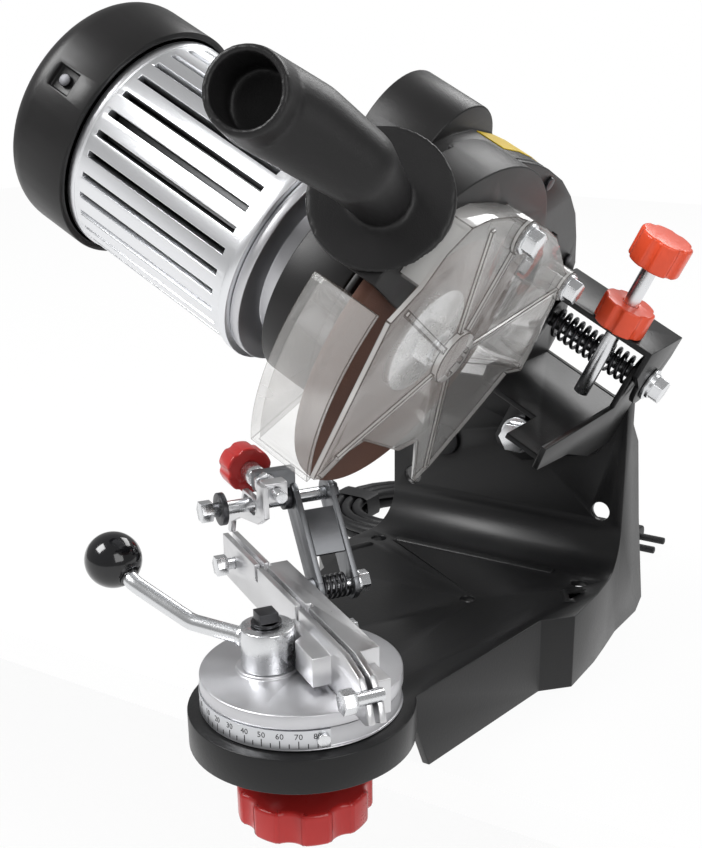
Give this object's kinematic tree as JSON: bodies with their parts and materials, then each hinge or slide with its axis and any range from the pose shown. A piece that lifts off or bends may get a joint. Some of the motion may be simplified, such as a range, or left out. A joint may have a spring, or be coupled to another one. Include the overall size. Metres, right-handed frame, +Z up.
{
  "type": "chainsaw_sharpener",
  "caption": "Electric saw-chain sharpener: tilting motor head with grinding wheel and clear guard over a turning chain vise on a black bench bracket.",
  "frame": {"origin": "midway between the two bench bolt holes, on the top face of the platform", "axes": "+Z up, +X towards the grinding wheel side, +Y back towards the upright, so the vise and the operator are at -Y"},
  "size_m": [0.2942, 0.482, 0.36],
  "materials": {
    "bracket_black": "satin black powder coat",
    "cord_rubber": "matte black",
    "zinc": "bright zinc plated",
    "cast_table": "bead blasted casting",
    "scale_plate": "satin strip with printed marks",
    "jaw_steel": "ground steel",
    "dark_steel": "black oxide",
    "dark_plate": "dark grey stamped steel",
    "ball_black": "polished black",
    "head_plastic": "fine texture black",
    "cap_plastic": "fine texture black",
    "handle_plastic": "soft matte black",
    "knob_red": "deep red moulded",
    "knob_orange": "orange red moulded",
    "switch_red": "red rocker",
    "label_yellow": "bare yellow label",
    "motor_aluminium": "bright extruded fins",
    "winding": "copper winding and core",
    "guard_clear": "clear polycarbonate",
    "abrasive": "brown bonded abrasive"
  },
  "bodies": {
    "base": {"base_frame": "bracket_black", "cord_grommet": "cord_rubber", "cord_lead": "cord_rubber", "cord_coil": "cord_rubber", "cord_tail": "cord_rubber", "mains_plug": "cord_rubber", "tilt_bolt": "zinc"},
    "vise": {"turntable": "cast_table", "scale_strip": "scale_plate", "scale_screws": "zinc", "rear_jaw": "jaw_steel", "jaw_screws": "zinc", "cam_post": "dark_steel", "stop_bolt": "zinc", "stop_spring": "dark_steel"},
    "jaw": {"front_jaw": "jaw_steel"},
    "cam": {"cam_hub": "zinc", "lever_rod": "zinc", "lever_ball": "ball_black"},
    "clamp": {"clamp_stud": "zinc", "clamp_collar": "head_plastic", "clamp_knob": "knob_red"},
    "chain_stop": {"stop_plate": "dark_plate", "stop_rod": "zinc", "stop_rings": "dark_steel"},
    "tongue": {"stop_tongue": "jaw_steel"},
    "tongue_adjuster": {"stop_screw": "zinc", "stop_knob": "knob_red"},
    "tilt_head": {"tilt_bracket": "bracket_black", "hinge_bolt": "zinc", "hinge_nut": "zinc", "lift_spring": "dark_steel"},
    "head": {"head_housing": "head_plastic", "housing_lid": "head_plastic", "housing_screws": "dark_steel", "label_plate": "label_yellow", "motor_bracket": "cast_table", "bearings": "zinc", "motor_body": "motor_aluminium", "stator": "winding", "motor_cap": "cap_plastic", "cap_screws": "dark_steel", "guard_shell": "guard_clear", "wheel_cover": "guard_clear", "guard_bolts": "zinc", "head_arm": "bracket_black", "arm_screws": "dark_steel", "handle": "handle_plastic", "switch_frame": "head_plastic"},
    "wheel": {"motor_shaft": "zinc", "rotor": "winding", "cooling_fan": "cap_plastic", "grinding_wheel": "abrasive", "wheel_flanges": "zinc", "wheel_nut": "zinc"},
    "switch": {"switch_rocker": "switch_red"},
    "depth_slide": {"depth_screw": "zinc"},
    "depth_turn": {"depth_knob": "knob_orange"},
    "lock": {"lock_knob": "knob_orange"}
  },
  "joints": [
    {"name": "vise_turn", "type": "hinge", "parent": "base", "child": "vise", "pos_m": [0.011, -0.189, 0], "axis": [0, 0, 1], "range_deg": [-2.5, 67.5]},
    {"name": "cam_turn", "type": "hinge", "parent": "vise", "child": "cam", "pos_m": [-0.00175, -0.19748, 0.02], "axis": [0, 0, 1], "range_deg": [0, 80]},
    {"name": "jaw_close", "type": "slide", "parent": "vise", "child": "jaw", "axis": [0.5373, 0.8434, 0], "range_m": [0, 0.0012]},
    {"name": "clamp_turn", "type": "hinge", "parent": "base", "child": "clamp", "pos_m": [0.011, -0.189, -0.042], "axis": [0, 0, 1], "range_deg": [-720, 0]},
    {"name": "chain_stop_lift", "type": "hinge", "parent": "vise", "child": "chain_stop", "pos_m": [-0.01505, -0.13683, 0.03], "axis": [0.5373, 0.8434, 0], "range_deg": [0, 20]},
    {"name": "tongue_turn", "type": "hinge", "parent": "chain_stop", "child": "tongue_adjuster", "pos_m": [-0.04949, -0.13505, 0.08], "axis": [0.8434, -0.5373, 0], "range_deg": [-1790, 1790]},
    {"name": "tongue_slide", "type": "slide", "parent": "chain_stop", "child": "tongue", "axis": [0.8434, -0.5373, 0], "range_m": [-0.005, 0.005]},
    {"name": "head_tilt", "type": "hinge", "parent": "base", "child": "tilt_head", "pos_m": [0.011, 0.0346, 0.07], "axis": [0, 1, 0], "range_deg": [-26.7, 8.3]},
    {"name": "head_swing", "type": "hinge", "parent": "tilt_head", "child": "head", "pos_m": [0.06391, 0.014, 0.1307], "axis": [0.8934, 0, -0.4493], "range_deg": [0, 20], "stiffness_Nm_per_rad": 12, "springref_deg": -51.57},
    {"name": "wheel_spin", "type": "hinge", "parent": "head", "child": "wheel", "pos_m": [0.06258, -0.1704, 0.17256], "axis": [0.8934, 0, -0.4493], "continuous": true},
    {"name": "switch_press", "type": "hinge", "parent": "head", "child": "switch", "pos_m": [0.05143, -0.03, 0.18511], "axis": [0.3541, 0.6157, 0.704], "range_deg": [-16, 0]},
    {"name": "depth_travel", "type": "slide", "parent": "head", "child": "depth_slide", "axis": [0.4493, 0, 0.8934], "range_m": [-0.005, 0.01]},
    {"name": "depth_knob_turn", "type": "hinge", "parent": "depth_slide", "child": "depth_turn", "pos_m": [0.10431, -0.008, 0.19098], "axis": [0.4493, 0, 0.8934], "range_deg": [-1450, 2890]},
    {"name": "lock_turn", "type": "hinge", "parent": "head", "child": "lock", "pos_m": [0.08633, -0.008, 0.15524], "axis": [0.4493, 0, 0.8934], "range_deg": [0, 90]}
  ],
  "couplings": [
    {"joint": "jaw_close", "follows": "cam_turn", "m_per_rad": 0.00085901},
    {"joint": "tongue_slide", "follows": "tongue_turn", "m_per_rad": 0.00015915},
    {"joint": "depth_knob_turn", "follows": "depth_travel", "rad_per_m": 5026.5}
  ]
}
